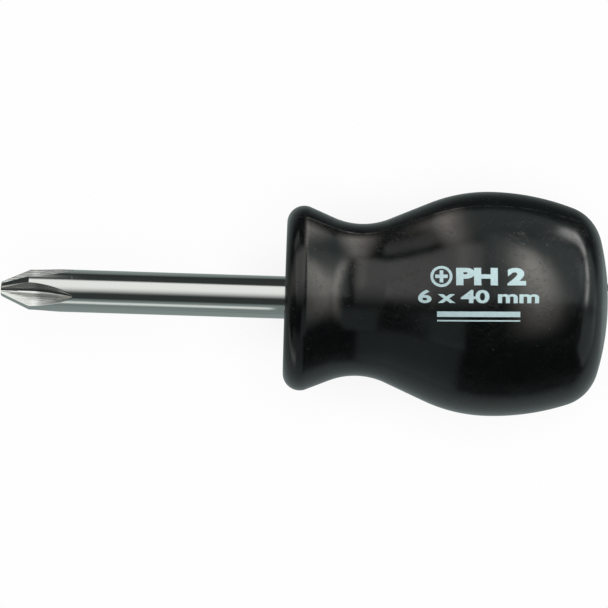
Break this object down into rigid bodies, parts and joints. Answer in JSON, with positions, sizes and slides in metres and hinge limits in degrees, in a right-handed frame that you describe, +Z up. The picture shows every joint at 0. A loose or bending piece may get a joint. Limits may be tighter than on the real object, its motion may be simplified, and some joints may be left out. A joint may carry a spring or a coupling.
{
  "type": "stubby cross-point screwdriver",
  "caption": "Short screwdriver: a bright plated round blade with a size 2 cross point, moulded into a stout black plastic handle with a flared lip, a waist and a fat belly.",
  "frame": {"origin": "centre of the blunt end of the driving point, on the tool's axis", "axes": "+X along the tool's axis from the point to the butt of the handle, +Z up; the marking is printed on the +Z side"},
  "size_m": [0.0855, 0.0316, 0.0316],
  "materials": {
    "plated_steel": "bright nickel-chrome plating over fine turning and polishing lines",
    "black_plastic": "glossy moulded black plastic with a fine parting line and light handling marks",
    "print_ink": "pale blue pad-printed ink, a film with no node of its own"
  },
  "bodies": {
    "root": {"blade": "plated_steel", "handle": "black_plastic"}
  },
  "joints": []
}
